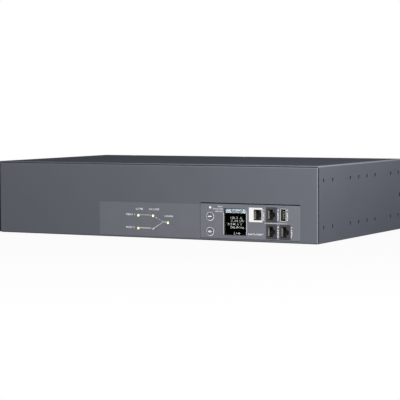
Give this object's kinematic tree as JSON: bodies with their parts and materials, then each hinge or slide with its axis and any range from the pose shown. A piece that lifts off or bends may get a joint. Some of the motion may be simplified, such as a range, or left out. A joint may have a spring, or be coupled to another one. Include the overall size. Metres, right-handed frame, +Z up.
{
  "type": "rack power distribution unit",
  "caption": "Low flat rack box that switches outlets between two supplies, with a front status panel, display, buttons and data sockets, and sockets at the rear.",
  "frame": {"origin": "centre of the base, on the surface that the unit stands on", "axes": "+X to the right seen from the front, +Y from the front to the rear, +Z up"},
  "size_m": [0.433, 0.2638, 0.088],
  "materials": {
    "case_paint": "fine matt powder coat",
    "black_screw": "black oxide",
    "zinc_steel": "zinc plated",
    "overlay_film": "fine-grained film",
    "board_green": "solder mask",
    "module_grey": "moulded satin",
    "lamp_lit": "clear lens, lit",
    "lamp_dark": "clear lens, dark",
    "switch_black": "moulded",
    "window_glass": "clear",
    "display_black": "display face",
    "nickel_plate": "nickel plated",
    "jack_black": "moulded",
    "contact_gold": "gold flash",
    "tongue_black": "moulded",
    "socket_black": "moulded",
    "breaker_white": "moulded",
    "supply_grey": "moulded",
    "capacitor_yellow": "moulded",
    "terminal_green": "moulded",
    "lead_black": "insulation",
    "earth_brass": "bare"
  },
  "bodies": {
    "chassis": {"base_tray": "case_paint", "board_ribbons": "supply_grey", "board_screws": "zinc_steel", "board_spacers": "zinc_steel", "breaker_a": "socket_black", "breaker_b": "socket_black", "button_switches": "switch_black", "cover_screws": "black_screw", "current_sensors": "switch_black", "data_jack_1": "jack_black", "data_jack_2": "jack_black", "data_jack_3": "jack_black", "display_holder": "switch_black", "display_panel": "display_black", "display_window": "window_glass", "ear_clinch_nuts": "zinc_steel", "earth_block": "earth_brass", "filter_capacitors": "capacitor_yellow", "hex_nuts": "zinc_steel", "host_port_shell": "nickel_plate", "host_port_tongue": "tongue_black", "inlet_a": "socket_black", "inlet_b": "socket_black", "inlet_blades": "nickel_plate", "input_terminals": "terminal_green", "large_outlet_1": "socket_black", "large_outlet_2": "socket_black", "module_bezel": "module_grey", "module_board": "board_green", "module_light_pipe": "lamp_lit", "network_jack_insert": "jack_black", "network_jack_shell": "nickel_plate", "outlet_board": "board_green", "outlet_relays": "switch_black", "output_busbars": "earth_brass", "output_lamp": "lamp_lit", "small_outlet_1": "socket_black", "small_outlet_2": "socket_black", "small_outlet_3": "socket_black", "small_outlet_4": "socket_black", "small_outlet_5": "socket_black", "small_outlet_6": "socket_black", "small_outlet_7": "socket_black", "small_outlet_8": "socket_black", "socket_contact_wires": "contact_gold", "source_a_power_lamp": "lamp_lit", "source_a_selected_lamp": "lamp_lit", "source_b_power_lamp": "lamp_lit", "source_b_selected_lamp": "lamp_dark", "status_board": "board_green", "status_overlay": "overlay_film", "supply_leads": "lead_black", "supply_module": "supply_grey", "top_cover": "case_paint", "transfer_board": "board_green", "transfer_relays": "switch_black"},
    "upper_button_body": {"upper_button": "module_grey"},
    "lower_button_body": {"lower_button": "module_grey"},
    "breaker_a_button_body": {"breaker_a_button": "breaker_white"},
    "breaker_b_button_body": {"breaker_b_button": "breaker_white"}
  },
  "joints": [
    {"name": "upper_button_press", "type": "slide", "parent": "chassis", "child": "upper_button_body", "axis": [0, 1, 0], "range_m": [0, 0.0006], "stiffness_N_per_m": 1500},
    {"name": "lower_button_press", "type": "slide", "parent": "chassis", "child": "lower_button_body", "axis": [0, 1, 0], "range_m": [0, 0.0006], "stiffness_N_per_m": 1500},
    {"name": "breaker_a_trip", "type": "slide", "parent": "chassis", "child": "breaker_a_button_body", "axis": [0, 1, 0], "range_m": [0, 0.004]},
    {"name": "breaker_b_trip", "type": "slide", "parent": "chassis", "child": "breaker_b_button_body", "axis": [0, 1, 0], "range_m": [0, 0.004]}
  ]
}
